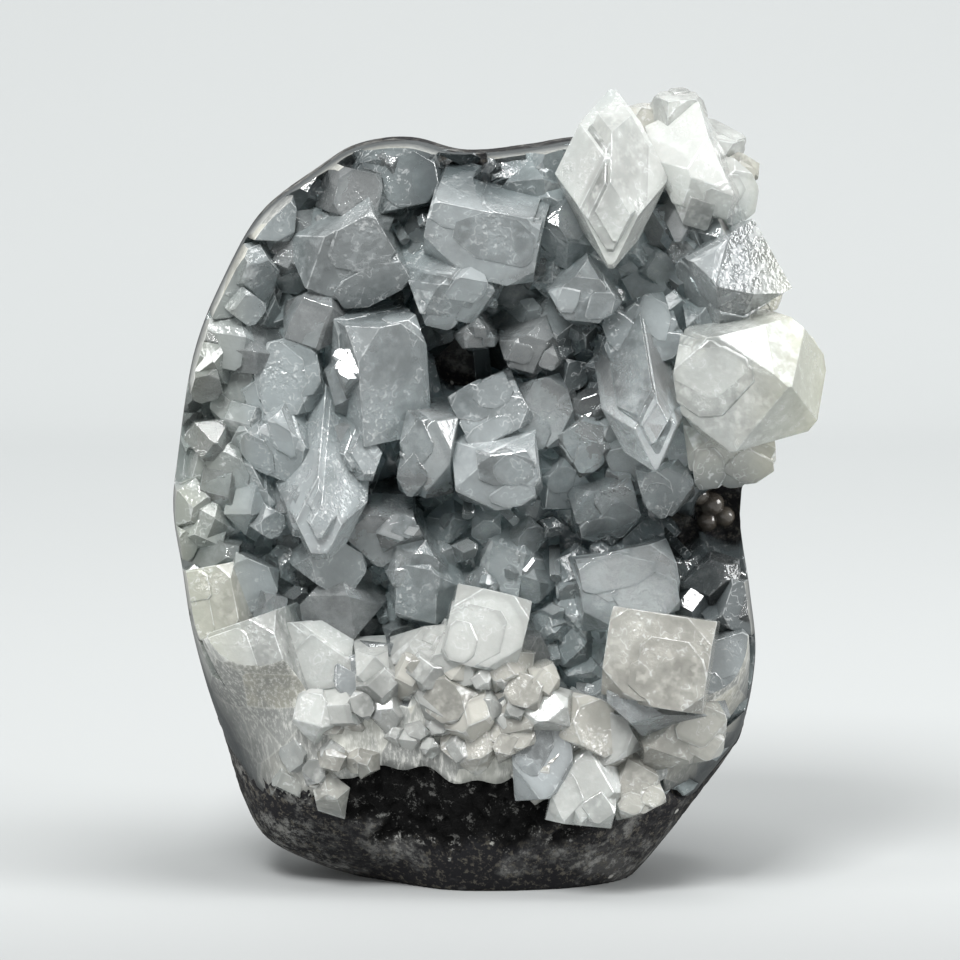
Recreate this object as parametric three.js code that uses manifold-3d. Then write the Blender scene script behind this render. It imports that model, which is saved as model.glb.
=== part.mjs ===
// Apophyllite specimen: a druse of blocky and pointed apophyllite crystals on dark basalt.
// The sides, the lower front and the foot are ground smooth, so crystals at the rim are cut flat there.
// Millimetres, +Z up, the crystals face -Y. The origin is the centre of the flat base.

import * as THREE from 'three';
import { ConvexGeometry } from 'three/addons/geometries/ConvexGeometry.js';
import { mergeVertices } from 'three/addons/utils/BufferGeometryUtils.js';
import Module from 'manifold-3d';

const wasm = await Module();
wasm.setup();

// Driving dimensions
const BODY_CENTRE = { x: -7, z: 78 };   // the middle of the ground outline
const RIM_Y = 6;                        // depth of the widest section
const BACK_DEPTH = 27;                  // from the widest section to the back
const BACK_ROUNDNESS = 2.5;             // exponent of the back's superellipse
const FRONT_DEPTH = 60;                 // grinding surface above and beside the crystals
const FRONT_ROUNDNESS = 3.5;
const LOW_FRONT_DEPTH = 43;             // grinding surface at the lower front
const LOW_FRONT_ROUNDNESS = 2.5;
const GROWTH_Y = -8;                    // mean depth of the surface that the crystals grew on
const WAVE_HEIGHT = 1.4;                // low waves on it
const HOLLOW_DEPTH = 4;                 // how far a dark hollow sinks into it
const HOLLOW_MARGIN = 4;                // and how far around the hollow it starts to sink
const LEDGE_Z = 50.3;                   // below this height the basalt comes forward
const LEDGE_SLOPE = 1.05;
const LEDGE_CROWN_X = -8;               // the ledge is highest here
const LEDGE_FALL = 0.015;               // and falls to both sides with the square of the distance
const GAP = 0.3;                        // free gap between neighbouring solids
const SOCKET_ROOM = 1.1;                // room around each bead, measured to a coarse ball's corners
const CRUST_THICKNESS = 6;              // small crystals grown together under the large ones
const CRUST_OVERHANG = 2;               // the crust reaches past the sides, which are then ground off
const OUTLINE_STEPS = 40;
const CRUST_STEPS = 22;
const BACK_SHARES = [0.35, 0.62, 0.82, 0.95];
const FRONT_SHARES = [1, 0.97, 0.91, 0.83, 0.75, 0.67, 0.58, 0.46, 0.3, 0.13];
const CRUST_SHARES = [1, 0.88, 0.72, 0.56, 0.38, 0.2];
const FILLER_COUNT = 42;
const FILLER_FIELD = { x: -66, z: 20, width: 116, height: 132 };
const FILLER_ROOT = 8;                  // how deep a small crystal's foot stands in the basalt
const GOLDEN_ANGLE = 2.39996;
const PYRAMID_RATIO = 2.5;              // height of a full point over its half width

// Ground outline seen from the front, clockwise from the top, as x and z. It runs below the base,
// where the flat foot cuts it off.
const OUTLINE = [
  [16, 150], [30, 147], [41, 138], [47, 126], [49.6, 110], [48.4, 92], [46.8, 74], [48.6, 60],
  [50, 46], [48, 31], [44.6, 24], [33, 8.4], [23.6, -2], [12, -9], [0, -12], [-12, -11],
  [-24, -3], [-38, 1.4], [-49.4, 7.2], [-54.4, 16], [-57.4, 26], [-61.2, 39], [-64.2, 53],
  [-65.8, 64], [-67.6, 76], [-66.6, 87], [-63.4, 107], [-57.6, 122], [-50, 135], [-38.4, 144],
  [-30.6, 148.6], [-20, 150], [-9, 147.4], [3, 148.4],
];

// Dark hollows, open between the crystals: centre x and z, half width and half height
const HOLLOWS = [
  { x: -10.8, z: 143, w: 5.5, h: 6 },
  { x: -25.3, z: 117.6, w: 4, h: 2 },
  { x: -7.3, z: 104.6, w: 7.5, h: 4 },
  { x: -19.3, z: 79, w: 6.5, h: 2 },
  { x: 29.2, z: 71.6, w: 7, h: 2.5 },
  { x: 41.7, z: 75, w: 5, h: 5 },
];

// Rounded beads: x and z of the centre, height over the basalt and radius
const BEADS_TOP = [
  [-14.2, 146.4, 1.4, 2.1], [-11.6, 144.6, 1.2, 2.4], [-8.4, 142.6, 1.4, 2.3], [-10.9, 140.4, 1, 2.3],
];
const BEADS_RIGHT = [
  [38.2, 78.4, 1.2, 2.2], [41, 76.4, 1.4, 2.5], [43.5, 73.9, 1, 2.1], [40.2, 73, 1.1, 2.2],
];

const rad = THREE.MathUtils.degToRad;
const smooth = THREE.MathUtils.smoothstep;

function dropBuffers(geometry) {
  geometry.deleteAttribute('normal');
  geometry.deleteAttribute('uv');
  return mergeVertices(geometry, 1e-4);
}

function toSolid(geometry) {
  const merged = dropBuffers(geometry);
  return new wasm.Manifold(new wasm.Mesh({
    numProp: 3,
    vertProperties: new Float32Array(merged.attributes.position.array),
    triVerts: new Uint32Array(merged.index.array),
  }));
}

function toGeometry(solid) {
  const mesh = solid.getMesh();
  const geometry = new THREE.BufferGeometry();
  geometry.setAttribute('position', new THREE.BufferAttribute(new Float32Array(mesh.vertProperties), 3));
  geometry.setIndex(new THREE.BufferAttribute(new Uint32Array(mesh.triVerts), 1));
  geometry.computeVertexNormals();
  return geometry;
}

// The ground outline as evenly spaced points around the closed curve
function outlinePoints(steps) {
  const corners = OUTLINE.map(([x, z]) => new THREE.Vector3(x, 0, z));
  const curve = new THREE.CatmullRomCurve3(corners, true, 'centripetal');
  return curve.getSpacedPoints(steps).slice(0, steps);
}

// Depth of the grinding surface at a share s of the way from the middle to the outline. It is rounder
// where it faces down, because the lower front and the lower left corner were ground away more.
function grindingY(x, z, s) {
  const reach = Math.hypot(x - BODY_CENTRE.x, z - BODY_CENTRE.z) || 1;
  const down = smooth((BODY_CENTRE.z - z) / reach, 0.35, 0.8);
  const depth = THREE.MathUtils.lerp(FRONT_DEPTH, LOW_FRONT_DEPTH, down);
  const power = THREE.MathUtils.lerp(FRONT_ROUNDNESS, LOW_FRONT_ROUNDNESS, down);
  return RIM_Y - depth * Math.pow(1 - Math.pow(s, power), 1 / power);
}

// Depth of the surface that the crystals grew on: low waves, a hollow at each dark pocket, and a ledge
// at the foot where the basalt comes forward
function growthY(x, z) {
  let y = GROWTH_Y - WAVE_HEIGHT * Math.sin(x / 8 + 1) * Math.cos(z / 10);
  for (const h of HOLLOWS) {
    const r = Math.hypot((x - h.x) / (h.w + HOLLOW_MARGIN), (z - h.z) / (h.h + HOLLOW_MARGIN));
    y += HOLLOW_DEPTH * (1 - smooth(r, 0.3, 1));
  }
  const ledge = LEDGE_Z - LEDGE_FALL * (x - LEDGE_CROWN_X) ** 2;
  return y - LEDGE_SLOPE * Math.max(0, ledge - z);
}

// A closed body of rings around the outline: a round back and a front whose depth is a function of
// x, z and the share s of the way to the outline. grow widens it all round.
function outlineBody(frontY, grow, steps = OUTLINE_STEPS, frontShares = FRONT_SHARES) {
  const outline = outlinePoints(steps);
  const positions = [];
  const push = (point, s, y) => {
    const reach = Math.hypot(point.x - BODY_CENTRE.x, point.z - BODY_CENTRE.z);
    const share = s * (1 + grow / reach);
    positions.push(
      BODY_CENTRE.x + (point.x - BODY_CENTRE.x) * share, y, BODY_CENTRE.z + (point.z - BODY_CENTRE.z) * share);
  };
  const at = (point, s) => [
    BODY_CENTRE.x + (point.x - BODY_CENTRE.x) * s, BODY_CENTRE.z + (point.z - BODY_CENTRE.z) * s];
  for (const s of BACK_SHARES) {
    const y = RIM_Y + BACK_DEPTH * Math.pow(1 - Math.pow(s, BACK_ROUNDNESS), 1 / BACK_ROUNDNESS);
    for (const point of outline) push(point, s, y + grow);
  }
  for (const s of frontShares) {
    for (const point of outline) {
      const [x, z] = at(point, s);
      push(point, s, frontY(x, z, s) - (s < 1 ? grow : 0));
    }
  }
  const rings = BACK_SHARES.length + frontShares.length;
  const n = outline.length;
  const index = [];
  for (let r = 0; r + 1 < rings; r++) {
    for (let i = 0; i < n; i++) {
      const a = r * n + i;
      const b = r * n + (i + 1) % n;
      index.push(a, a + n, b, b, a + n, b + n);
    }
  }
  const back = positions.length / 3;
  positions.push(BODY_CENTRE.x, RIM_Y + BACK_DEPTH + grow, BODY_CENTRE.z);
  positions.push(BODY_CENTRE.x, frontY(BODY_CENTRE.x, BODY_CENTRE.z, 0) - grow, BODY_CENTRE.z);
  for (let i = 0; i < n; i++) {
    const j = (i + 1) % n;
    index.push(back, i, j);
    index.push(back + 1, (rings - 1) * n + j, (rings - 1) * n + i);
  }
  const geometry = new THREE.BufferGeometry();
  geometry.setAttribute('position', new THREE.Float32BufferAttribute(positions, 3));
  geometry.setIndex(index);
  return toSolid(geometry);
}

// Everything above the flat base
function aboveBase() {
  const side = 400;
  const box = new THREE.BoxGeometry(side, side, side);
  box.translate(0, 0, side / 2);
  return toSolid(box);
}

// One crystal: a square prism of half widths a and b along the direction d, which ends in a four sided
// point whose faces stand over the prism's edges. cap is the share of the point that is cut off by
// the flat end: 0 is a full point, 2 a plain block. The head centre is at x, y, z.
function crystal({ x, y, z, a, b = a, length = 26, d = [0, -1, 0], spin = 0, cap = 1.5, tail = false }) {
  const axis = new THREE.Vector3(...d).normalize();
  const sideways = new THREE.Vector3(0, 0, 1).cross(axis);
  if (sideways.length() < 0.05) sideways.set(1, 0, 0);
  sideways.normalize();
  const up = new THREE.Vector3().crossVectors(axis, sideways);
  const basis = new THREE.Matrix4().makeBasis(sideways, up, axis);
  basis.multiply(new THREE.Matrix4().makeRotationZ(rad(spin)));
  basis.setPosition(x, y, z);
  const full = PYRAMID_RATIO * Math.min(a, b);
  const head = full * (1 - cap / 2);
  const corners = [];
  const square = (h) => {
    for (const i of [-1, 1]) for (const j of [-1, 1]) corners.push(new THREE.Vector3(i * a, j * b, h));
  };
  const point = (tip, shoulder) => {
    const level = (s) => shoulder + (tip - shoulder) * (2 - s) / (2 - cap);
    square(shoulder);
    if (cap < 1) {
      for (const i of [-1, 1]) {
        corners.push(new THREE.Vector3(i * a, 0, level(1)), new THREE.Vector3(0, i * b, level(1)));
        corners.push(new THREE.Vector3(i * cap * a, 0, tip), new THREE.Vector3(0, i * cap * b, tip));
      }
    } else {
      for (const i of [-1, 1]) {
        for (const j of [-1, 1]) {
          corners.push(new THREE.Vector3(i * a, j * b * (cap - 1), tip));
          corners.push(new THREE.Vector3(i * a * (cap - 1), j * b, tip));
        }
      }
    }
  };
  point(0, -head);
  if (tail) point(-length, head - length);
  else square(-length);
  const geometry = new ConvexGeometry(corners);
  geometry.applyMatrix4(basis);
  return toSolid(geometry);
}

// The large crystals that can be told apart from the front. These stand proud of the ground sides or of
// the lower front, so no grinding touched them.
const PROUD_CRYSTALS = [
  // Crown at the upper right
  { x: 19.4, y: -34, z: 126.2, a: 8.2, length: 37.5, d: [-0.03, -0.42, -0.9], spin: 45, cap: 0.12, tail: true },
  { x: 33.4, y: -12, z: 159, a: 4.6, b: 4.2, length: 30, d: [0.02, -0.22, 1], spin: 24, cap: 1.7 },
  { x: 27.2, y: -9, z: 157, a: 3.6, length: 26, d: [-0.08, -0.1, 1], spin: 50, cap: 1.2 },
  { x: 41.6, y: -8, z: 151.8, a: 5, length: 24, d: [0.3, -0.28, 0.9], spin: 15, cap: 1.6 },
  { x: 47.6, y: -14, z: 145.4, a: 3.4, length: 20, d: [0.55, -0.7, 0.4], spin: 20, cap: 1.2 },
  { x: 38, y: -28, z: 139.4, a: 6, b: 7.2, length: 21, d: [0.12, -0.8, -0.5], spin: 30, cap: 0.9 },
  { x: 45.4, y: -18, z: 139, a: 5, length: 24, d: [0.5, -0.75, -0.1], spin: 35, cap: 1.5 },
  { x: 33.4, y: -24, z: 130.2, a: 3.6, length: 24, d: [-0.1, -0.6, -0.8], spin: 45, cap: 0.2 },
  { x: 38.4, y: -26, z: 120.4, a: 7.4, b: 7.8, length: 14, d: [-0.76, -0.45, -0.46], spin: 12, cap: 1.3 },
  { x: 49.6, y: -14, z: 121, a: 6, length: 30, d: [0.45, -0.75, -0.1], spin: 8, cap: 1.6 },
  { x: 43.4, y: -37, z: 101.4, a: 11.8, b: 11.2, length: 23, d: [-0.34, -0.92, -0.16], spin: 6, cap: 1.45, tail: true },
  { x: 56.4, y: -20, z: 106.6, a: 6.6, length: 26, d: [0.3, -0.9, 0.1], spin: 30, cap: 1.6 },
  { x: 44, y: -26, z: 87.4, a: 8.6, b: 6.4, length: 28, d: [0.06, -0.86, -0.44], spin: 8, cap: 1.4 },
  // Lower band
  { x: -4.4, y: -37, z: 55, a: 7.6, b: 7.4, length: 32, d: [0.05, -0.96, 0.15], spin: -14, cap: 1.6 },
  { x: -17, y: -33, z: 50, a: 6.4, b: 4.8, length: 30, d: [-0.1, -0.95, 0.2], spin: 12, cap: 1.2 },
  { x: 28.4, y: -40, z: 50, a: 10.4, b: 9, length: 34, d: [-0.1, -0.97, 0.12], spin: -8, cap: 1.65 },
  { x: 19.4, y: -37, z: 41.6, a: 4.4, b: 6, length: 26, d: [-0.75, -0.55, 0.1], spin: 35, cap: 0.3 },
  { x: 34.6, y: -32, z: 33, a: 8.8, b: 5.4, length: 26, d: [0.2, -0.9, 0.1], spin: 12, cap: 1.2 },
  { x: -39.8, y: -29, z: 48.6, a: 8.2, b: 7, length: 28, d: [-0.15, -0.97, 0.1], spin: 6, cap: 1.3 },
  { x: -28.4, y: -31, z: 44, a: 6, length: 26, d: [0, -0.95, 0.2], spin: 30, cap: 1.3 },
  { x: -0.4, y: -35, z: 34.6, a: 4.6, length: 20, d: [0, -0.9, 0.3], spin: 25, cap: 0.9 },
  { x: -12, y: -34, z: 38.6, a: 5.2, b: 4.4, length: 20, d: [-0.1, -0.9, 0.3], spin: 10, cap: 1.1 },
  { x: -20.6, y: -33, z: 34.6, a: 3.8, length: 18, d: [-0.2, -0.9, 0.3], spin: 40, cap: 1.0 },
];

// These are cut flat wherever they reach the grinding surface
const SAWN_CRYSTALS = [
  // Upper left
  { x: -23.4, y: -20, z: 143.6, a: 9, b: 7.4, d: [-0.1, -0.85, 0.4], spin: 12 },
  { x: -34.8, y: -23, z: 134, a: 4, d: [-0.2, -1, 0.3], spin: 40, cap: 0.8 },
  { x: -31.4, y: -27, z: 125, a: 9.6, b: 9.2, d: [0.1, -0.9, -0.35], spin: 30, cap: 1.5 },
  { x: -43.4, y: -22, z: 131, a: 5.6, d: [-0.3, -1, 0.2], spin: 20, cap: 1.2 },
  { x: -51, y: -18, z: 119.6, a: 5, b: 7, d: [-0.3, -1, 0.1], spin: 10 },
  // Top middle
  { x: -5.6, y: -31, z: 130.2, a: 10.8, b: 7.2, d: [-0.12, -0.94, -0.28], spin: -12, cap: 1.7 },
  { x: -10.4, y: -28, z: 118.8, a: 7.4, b: 5.8, d: [0.1, -0.86, -0.5], spin: 25, cap: 1.2 },
  { x: -6.4, y: -26, z: 111, a: 3.2, d: [0.1, -0.9, -0.3], spin: 45, cap: 0.8 },
  { x: 8.4, y: -24, z: 129, a: 5, b: 6, length: 30, d: [-0.45, -0.7, -0.5], spin: 20, cap: 1.4 },
  { x: 3.6, y: -18, z: 147, a: 7.6, b: 4.4, d: [0, -0.85, 0.5], spin: 5 },
  { x: 21, y: -20, z: 124, a: 9.4, b: 6.4, d: [0.1, -0.95, -0.2], spin: 10, cap: 1.3 },
  { x: 14.8, y: -29, z: 119, a: 5.4, d: [0.05, -0.95, -0.25], spin: 38, cap: 1.3 },
  { x: 4.2, y: -26, z: 108, a: 5.2, b: 4.6, d: [0, -0.9, -0.3], spin: 25, cap: 1.2 },
  // Right middle
  { x: 26, y: -25, z: 112.6, a: 7.6, b: 6.6, d: [-0.1, -0.95, 0.2], spin: 20, cap: 1.4 },
  { x: 28.6, y: -37, z: 86.4, a: 6.3, length: 38, d: [0.12, -0.62, -0.78], spin: 45, cap: 0.1 },
  { x: 31.6, y: -25, z: 81, a: 5.4, d: [0.1, -0.95, -0.3], spin: 15, cap: 1.4 },
  // Left middle
  { x: -26.8, y: -24, z: 116, a: 7.7, b: 7.5, length: 24, d: [-0.06, -0.24, 0.97], spin: 40, cap: 1.5 },
  { x: -37.4, y: -33, z: 69, a: 6.2, length: 38, d: [-0.06, -0.55, -0.83], spin: 45, cap: 0.3 },
  { x: -41, y: -29, z: 72.8, a: 5.4, length: 30, d: [-0.2, -0.6, -0.77], spin: 30, cap: 0.4 },
  { x: -46, y: -26, z: 88, a: 6, b: 7.4, d: [-0.2, -0.9, -0.35], spin: 30, cap: 1.2 },
  { x: -28, y: -28, z: 84, a: 4.6, d: [0.25, -0.7, -0.65], spin: 45, cap: 0.3 },
  { x: -43.8, y: -24, z: 103.6, a: 6.4, b: 7.6, d: [-0.1, -0.95, 0.1], spin: 12 },
  { x: -55.4, y: -20, z: 101.6, a: 5.2, b: 7, d: [-0.3, -0.9, 0.1], spin: 15, cap: 1.2 },
  { x: -57.4, y: -22, z: 80.6, a: 8.4, b: 8.8, d: [-0.25, -0.95, -0.2], spin: 25, cap: 1.5 },
  { x: -60.6, y: -15, z: 65, a: 4, d: [-0.4, -0.9, 0], spin: 30, cap: 1.2 },
  // Middle
  { x: -3.8, y: -27, z: 97.6, a: 6.8, b: 6.2, d: [-0.1, -0.95, 0.1], spin: 30, cap: 1.5 },
  { x: 6.8, y: -25, z: 96.6, a: 5.8, b: 6.6, d: [0.1, -0.95, 0.1], spin: 14, cap: 1.5 },
  { x: -2.8, y: -31, z: 83.6, a: 8.4, b: 6.2, d: [0, -0.92, -0.35], spin: 8, cap: 1.4 },
  { x: -16.8, y: -28, z: 87.6, a: 5.4, b: 8.4, d: [-0.2, -0.9, -0.2], spin: -8, cap: 1.3 },
  { x: 16, y: -24, z: 90.4, a: 5, d: [0.3, -0.9, 0], spin: 30, cap: 1.4 },
  { x: 11, y: -23, z: 80.6, a: 5.2, d: [0.2, -0.9, -0.2], spin: 42, cap: 1.1 },
  { x: 19.4, y: -24, z: 76.4, a: 6.6, b: 5.6, d: [0.2, -0.9, -0.3], spin: 14, cap: 1.4 },
  { x: -22.4, y: -27, z: 74.4, a: 4.2, b: 3.2, d: [-0.1, -0.9, 0.3], spin: 20, cap: 1.2 },
  { x: -19.6, y: -25, z: 65.6, a: 5.2, d: [0, -0.9, -0.3], spin: 35, cap: 1.2 },
  // Lower band
  { x: 24, y: -28, z: 62.4, a: 9.6, b: 7.4, length: 30, d: [0.15, -0.95, 0.05], spin: 10, cap: 1.5 },
  { x: 6.4, y: -34, z: 30, a: 6, b: 9, length: 22, d: [0, -0.95, 0.15], spin: 4, cap: 1.4 },
  { x: 15.4, y: -33, z: 24.4, a: 6.6, b: 8.6, length: 20, d: [0.05, -0.95, 0.1], spin: -10, cap: 1.2 },
  { x: 25, y: -30, z: 23, a: 5, b: 6, length: 20, d: [0.1, -0.95, 0.1], spin: 20, cap: 1.3 },
];

// Smaller crystals between the large ones, spread evenly over the front by the plastic number's
// sequence, each turned and tilted by its own share of the golden angle
function fillers() {
  const plastic = 1.32471795724;
  const share = (i, step, start = 0) => (start + i * step) % 1;
  const found = [];
  for (let i = 1; i <= FILLER_COUNT; i++) {
    const x = FILLER_FIELD.x + FILLER_FIELD.width * share(i, 1 / plastic, 0.5);
    const z = FILLER_FIELD.z + FILLER_FIELD.height * share(i, 1 / plastic ** 2, 0.5);
    const turn = i * GOLDEN_ANGLE;
    const a = 4.8 + 2.4 * share(i, 0.618034);
    const b = a * (0.85 + 0.3 * share(i, 0.56984));
    const rise = 11 + 5 * share(i, 0.754878);
    const inHollow = HOLLOWS.some((h) => Math.hypot((x - h.x) / (h.w + a), (z - h.z) / (h.h + a)) < 1);
    if (inHollow) continue;
    found.push({
      x, y: growthY(x, z) - rise, z, a, b, length: rise + FILLER_ROOT,
      d: [0.35 * Math.cos(turn), -1, 0.35 * Math.sin(turn)], spin: (turn * 40) % 90,
      cap: 0.9 + 0.8 * share(i, 0.381966),
    });
  }
  return found;
}

// The open space of the dark hollows, where the crust leaves the basalt bare
function hollowSpace() {
  const spaces = HOLLOWS.map(({ x, z, w, h }) => {
    const space = new THREE.SphereGeometry(1, 7, 4);
    space.scale(w + 1, 4 * CRUST_THICKNESS, h + 1);
    space.translate(x, growthY(x, z), z);
    return toSolid(space);
  });
  return wasm.Manifold.union(spaces);
}

// Rounded beads that touch each other, or with room around them the space that they stand in
function beads(list, room, detail) {
  const solids = list.map(([x, z, over, radius]) => {
    const ball = new THREE.SphereGeometry(radius + room, 2 * detail, detail);
    ball.translate(x, growthY(x, z) - over, z);
    return toSolid(ball);
  });
  return wasm.Manifold.union(solids);
}

const ground = aboveBase();
const matrixFront = (x, z, s) => Math.max(grindingY(x, z, s), growthY(x, z));
const matrix = outlineBody(matrixFront, 0).intersect(ground);
const matrixGrown = outlineBody(matrixFront, GAP);
const crustFront = (x, z) => growthY(x, z) - CRUST_THICKNESS;
const crust = outlineBody(crustFront, CRUST_OVERHANG, CRUST_STEPS, CRUST_SHARES).subtract(hollowSpace());
const grindstone = outlineBody(grindingY, 0).intersect(ground);

const SOCKET_DETAIL = 3;
const BEAD_DETAIL = 4;
const largestPiece = (solid) => solid.decompose().sort((p, q) => q.volume() - p.volume())[0];
const sawn = wasm.Manifold.union([...SAWN_CRYSTALS, ...fillers()].map(crystal)).add(crust).intersect(grindstone);
const proud = wasm.Manifold.union(PROUD_CRYSTALS.map(crystal)).intersect(ground);
const sockets = beads([...BEADS_TOP, ...BEADS_RIGHT], SOCKET_ROOM, SOCKET_DETAIL);
const druse = largestPiece(sawn.add(proud).subtract(matrixGrown).subtract(sockets));
const beadsTop = largestPiece(beads(BEADS_TOP, 0, BEAD_DETAIL).subtract(matrixGrown));
const beadsRight = largestPiece(beads(BEADS_RIGHT, 0, BEAD_DETAIL).subtract(matrixGrown));

const group = new THREE.Group();
function addPiece(name, solid, colour, roughness) {
  const material = new THREE.MeshStandardMaterial({ color: colour, roughness, metalness: 0 });
  const mesh = new THREE.Mesh(toGeometry(solid), material);
  mesh.name = name;
  group.add(mesh);
}

addPiece('basalt_matrix', matrix, 0x3b3b3c, 0.6);
addPiece('apophyllite_druse', druse, 0xbfc6c6, 0.2);
addPiece('bead_cluster_top', beadsTop, 0x6b5a48, 0.25);
addPiece('bead_cluster_right', beadsRight, 0x4a443f, 0.25);

export default group;
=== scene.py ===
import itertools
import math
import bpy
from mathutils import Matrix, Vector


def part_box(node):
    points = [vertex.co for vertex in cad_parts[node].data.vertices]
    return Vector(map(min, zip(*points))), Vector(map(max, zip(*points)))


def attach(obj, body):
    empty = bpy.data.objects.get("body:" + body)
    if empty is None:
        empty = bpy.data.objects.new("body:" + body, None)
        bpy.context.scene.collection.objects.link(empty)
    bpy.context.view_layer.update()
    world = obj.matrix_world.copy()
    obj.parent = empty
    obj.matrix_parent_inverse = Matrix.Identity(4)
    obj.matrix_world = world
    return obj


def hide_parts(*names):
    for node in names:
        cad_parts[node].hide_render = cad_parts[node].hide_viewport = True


bl_info = {
    "name": "Apophyllite Specimen",
    "version": (1, 0, 0),
    "blender": (4, 5, 0),
    "location": "View3D > Sidebar > Specimen",
    "description": "A druse of apophyllite crystals on a ground block of dark basalt",
    "category": "Add Mesh",
}

from typing import NamedTuple

import bmesh
import bpy
import numpy as np
from mathutils import Vector

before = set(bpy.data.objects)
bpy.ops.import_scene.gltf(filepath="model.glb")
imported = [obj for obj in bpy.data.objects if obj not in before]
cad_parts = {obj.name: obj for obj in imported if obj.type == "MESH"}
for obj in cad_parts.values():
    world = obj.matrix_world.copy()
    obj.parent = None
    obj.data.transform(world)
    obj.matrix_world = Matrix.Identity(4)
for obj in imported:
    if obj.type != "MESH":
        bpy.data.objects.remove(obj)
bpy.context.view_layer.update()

MM = 0.001
SEED = 41

# Ground body, in millimetres. The crystals face -Y, the flat base lies at Z 0, and the low front faces down.
CENTRE_X, CENTRE_Z = -7.0, 78.0
RIM_Y = 6.0
BACK_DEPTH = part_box("basalt_matrix")[1][1] / MM - RIM_Y
BACK_ROUNDNESS = 2.5
FRONT_DEPTH, FRONT_ROUNDNESS = 60.0, 3.5
LOW_FRONT_DEPTH, LOW_FRONT_ROUNDNESS = 43.0, 2.5
DOWN_START, DOWN_FULL = 0.35, 0.8
RING_POWER = 0.85

# Growth surface: its depth, low waves, hollows and the ragged ledge at the foot
GROWTH_Y = -8.0
WAVE_HEIGHT, WAVE_X, WAVE_Z = 1.4, 8.0, 10.0
HOLLOW_DEPTH = HOLLOW_MARGIN = 4.0
LEDGE_Z, LEDGE_SLOPE, LEDGE_CROWN_X = 52.8, 1.05, -8.0
LEDGE_FALL_LEFT, LEDGE_FALL_RIGHT = 0.012, 0.017
LEDGE_SWELL, LEDGE_SWELL_X = 2.0, 4.3
LEDGE_RIPPLE, LEDGE_RIPPLE_X, LEDGE_BEAT_X = 1.8, 1.9, 5.1

# The black patch at the lower front: centre x and z, half width and half height
PATCH = (-10.4, 20.5, 24.0, 10.5)

# Crystals: the slope of the point, the wobble of the faces, and the lean, rise and depth of chips
PYRAMID_RATIO = 2.5
SIDE_WOBBLE, POINT_WOBBLE = 0.07, 0.26
CHIP_LEAN, CHIP_RISE, CHIP_BITE = (0.3, 1.3), (0.1, 1.4), (0.04, 0.16)

# Growth steps: size and place as shares of the large crystal's, and how far they stand out or back
BLUNT_CAP = 0.6
STEP_SIZE, STEP_SHIFT = (0.35, 0.8), (0.7, 1.06)
STEP_OUT, STEP_BACK = (0.08, 0.4), (1.5, 6.0)

# Even sequences that place, turn and size the small crystals
PLASTIC_NUMBER = 1.32471795724
GOLDEN_ANGLE = 2.39996
RATIO_A, RATIO_B, RATIO_RISE, RATIO_CAP = 0.618034, 0.56984, 0.754878, 0.381966
SPREAD_X = (-66, 50)

# Crystals in front of the ledge: count, half widths, fall below the ledge and height over the slope
LEDGE_BANDS = [(56, (2.8, 5.6), (2, 22), (0.4, 3.0)), (44, (1.4, 2.8), (1, 30), (0.2, 2.2))]
BAND_X, BAND_LENGTH = (-52, 42), 14

# Joining: the gap between roots and basalt, and the numbers of faces that no crystal owns
ROOT_GAP = 0.15
GROUND_FACES, CRUST_FACES, ROOT_FACES = -1, -2, -3
EDGE_COSINE = math.cos(math.radians(3.0))

# Cell noise: directions and size of the sine whose broken part scatters the points
JITTER_TURNS = np.array([[127.1, 269.5, 113.5], [311.7, 183.3, 271.9], [74.7, 246.1, 124.6]])
JITTER_SCALE = 43758.5453
FAR_CELL = 9.0

# Finishes
CRYSTAL_IOR, BEAD_IOR = 1.535, 1.54
ABSORPTION_TINT = (0.85, 0.92, 0.93)
# Painted shade on recessed crystals between the larger ones
DEEP_SHADE_COLOUR = (0.24, 0.29, 0.295)
# Near black painted shade in the hollows, which stands also for the dark basalt seen through the crystals
GLOOM_SHADE_COLOUR = (0.04, 0.05, 0.055)
MARGIN_COLOUR = (0.66, 0.66, 0.50)
# Pale veils, partly fracture veils and partly painted inner reflections, and the painted highlight on worn
# edges
VEIL_AND_HIGHLIGHT_COLOUR = (0.9, 0.93, 0.93)
# Painted glints
PAINTED_GLINT_COLOUR = (0.95, 0.97, 0.96)
GLOW_RADIUS, GLOW_DEPTH = (0.9, 1.0, 1.0), 3.5 * MM
RIM_SHARPNESS = 8.0
GRAIN_SHIFT = 0.013

# Ground outline seen from the front, clockwise from the top, as x and z
OUTLINE = np.array([
    (16, 150), (30, 147), (41, 138), (47, 126), (49.6, 110), (48.4, 92), (46.8, 74), (48.6, 60),
    (50, 46), (48, 31), (44.6, 24), (33, 8.4), (23.6, -2), (12, -9), (0, -12), (-12, -11),
    (-24, -3), (-38, 1.4), (-49.4, 7.2), (-54.4, 16), (-57.4, 26), (-61.2, 39), (-64.2, 53),
    (-65.8, 64), (-67.6, 76), (-66.6, 87), (-63.4, 107), (-57.6, 122), (-50, 135), (-38.4, 144),
    (-30.6, 148.6), (-20, 150), (-9, 147.4), (3, 148.4),
], dtype=float)

# Hollows between the crystals, sunk and darkened by painted shade: centre x and z, half width and half height
HOLLOWS = [
    (-10.8, 143, 5.5, 6), (-25.3, 117.6, 4, 2), (-7.3, 104.6, 7.5, 4), (-19.3, 79, 6.5, 2),
    (29.2, 71.6, 7, 2.5), (41.7, 75, 5, 5),
]

# Places darkened by painted shade where no hollow opens, in the same form
GLOOMS = [(17, 74, 7, 5), (44, 62, 4, 8), (-38, 146, 6, 3), (18, 108, 4, 5)]

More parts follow.
